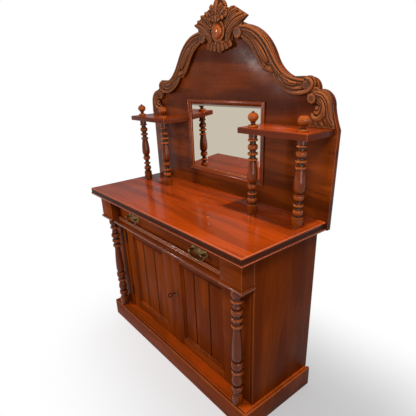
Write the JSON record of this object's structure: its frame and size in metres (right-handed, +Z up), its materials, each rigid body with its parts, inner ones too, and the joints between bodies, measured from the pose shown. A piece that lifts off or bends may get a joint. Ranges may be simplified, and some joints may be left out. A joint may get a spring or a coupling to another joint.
{
  "type": "chiffonier",
  "caption": "Low cupboard with a drawer over panelled doors, turned columns at the front corners, and a shaped mirror back with side shelves on turned spindles.",
  "frame": {"origin": "middle of the footprint, on the floor", "axes": "+X to the viewer's right, +Y to the back, +Z up"},
  "size_m": [1.238, 0.507, 1.713],
  "materials": {
    "cedar": "french polished, satin gloss",
    "cedar_door": "french polished, satin gloss",
    "cedar_turned": "french polished, gloss",
    "cedar_carved": "old polish, dark in the hollows",
    "pine": "bare planed softwood",
    "old_brass": "aged, dull",
    "steel": "dark, worn",
    "silvered_glass": "polished"
  },
  "bodies": {
    "carcass": {"back_boards": "pine", "back_uprights": "pine", "backboard": "cedar", "base_board": "pine", "block_mouldings": "cedar", "carcass_rails": "pine", "column_left": "cedar_turned", "column_right": "cedar_turned", "corner_scroll_left": "cedar_carved", "corner_scroll_right": "cedar_carved", "crest": "cedar_carved", "drawer_rail": "cedar", "drawer_runners": "pine", "finials": "cedar_turned", "frieze_blocks": "cedar", "hinge_leaves_fixed": "old_brass", "inner_shelf": "pine", "mirror_back": "pine", "mirror_frame": "cedar", "mirror_glass": "silvered_glass", "pilasters": "cedar", "plinth_frame": "cedar", "scroll_left": "cedar_carved", "scroll_right": "cedar_carved", "shelf_bearers": "pine", "side_left": "cedar", "side_right": "cedar", "side_shelf_left": "cedar", "side_shelf_right": "cedar", "spindles": "cedar_turned", "top_board": "cedar"},
    "door_left": {"door_left_hinge_leaves": "old_brass", "door_left_moulding": "cedar_door", "door_left_panel": "cedar_door", "door_left_rails": "cedar_door", "door_left_stiles": "cedar_door", "door_bolt_case": "steel"},
    "door_right": {"door_right_hinge_leaves": "old_brass", "door_right_moulding": "cedar_door", "door_right_panel": "cedar_door", "door_right_rails": "cedar_door", "door_right_stiles": "cedar_door", "lock_case": "steel", "escutcheon": "old_brass"},
    "drawer": {"drawer_front": "cedar", "drawer_moulding": "cedar", "drawer_box": "pine", "drawer_bottom": "pine", "handle_plates": "old_brass", "handle_posts": "old_brass"},
    "bail_left": {"bail_left": "old_brass"},
    "bail_right": {"bail_right": "old_brass"},
    "key": {"key": "steel"},
    "lock_bolt": {"lock_bolt": "steel"},
    "door_bolt": {"door_bolt": "steel"}
  },
  "joints": [
    {"name": "drawer_slide", "type": "slide", "parent": "carcass", "child": "drawer", "axis": [0, -1, 0], "range_m": [0, 0.28]},
    {"name": "door_left_hinge", "type": "hinge", "parent": "carcass", "child": "door_left", "pos_m": [-0.4524, -0.1481, 0.4], "axis": [0, 0, -1], "range_deg": [0, 120]},
    {"name": "door_right_hinge", "type": "hinge", "parent": "carcass", "child": "door_right", "pos_m": [0.4524, -0.1481, 0.4], "axis": [0, 0, 1], "range_deg": [0, 120]},
    {"name": "bail_left_swing", "type": "hinge", "parent": "drawer", "child": "bail_left", "pos_m": [-0.279, -0.1935, 0.743], "axis": [-1, 0, 0], "range_deg": [-33, 210]},
    {"name": "bail_right_swing", "type": "hinge", "parent": "drawer", "child": "bail_right", "pos_m": [0.279, -0.1935, 0.743], "axis": [-1, 0, 0], "range_deg": [-33, 210]},
    {"name": "key_turn", "type": "hinge", "parent": "door_right", "child": "key", "pos_m": [0.025, -0.1435, 0.41], "axis": [0, 1, 0], "range_deg": [0, 180]},
    {"name": "lock_bolt_slide", "type": "slide", "parent": "door_right", "child": "lock_bolt", "axis": [-1, 0, 0], "range_m": [0, 0.008]},
    {"name": "door_bolt_slide", "type": "slide", "parent": "door_left", "child": "door_bolt", "axis": [0, 0, 1], "range_m": [0, 0.013]}
  ],
  "couplings": [
    {"joint": "lock_bolt_slide", "follows": "key_turn", "m_per_rad": 0.002546}
  ]
}
